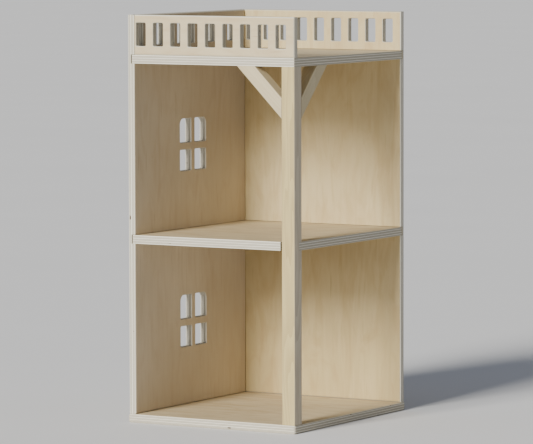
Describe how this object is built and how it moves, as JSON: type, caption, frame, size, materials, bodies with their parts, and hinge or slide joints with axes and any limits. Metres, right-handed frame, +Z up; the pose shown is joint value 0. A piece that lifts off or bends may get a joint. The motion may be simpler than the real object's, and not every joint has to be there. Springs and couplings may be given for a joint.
{
  "type": "doll house corner module",
  "caption": "Open two-storey plywood corner house for dolls, with two walls, a corner post with braces and a slotted roof terrace.",
  "frame": {"origin": "centre of the base plate's underside", "axes": "+X along the open front towards the open side, +Y from the front to the back wall, +Z up"},
  "size_m": [0.2014, 0.2336, 0.4255],
  "materials": {
    "plywood_wall": "sanded, bare or thinly oiled",
    "plywood_board": "sanded, bare or thinly oiled",
    "solid_wood": "planed and sanded",
    "dowel_wood": "turned",
    "screw_steel": "zinc plated"
  },
  "bodies": {
    "root": {"base_plate": "plywood_board", "left_wall": "plywood_wall", "back_wall": "plywood_wall", "middle_floor": "plywood_board", "roof_floor": "plywood_board", "corner_post": "solid_wood", "front_brace": "solid_wood", "right_brace": "solid_wood", "front_railing": "plywood_wall", "base_screws": "screw_steel", "corner_dowels": "dowel_wood", "post_dowel": "dowel_wood", "railing_dowels": "dowel_wood", "brace_dowels": "dowel_wood"}
  },
  "joints": []
}
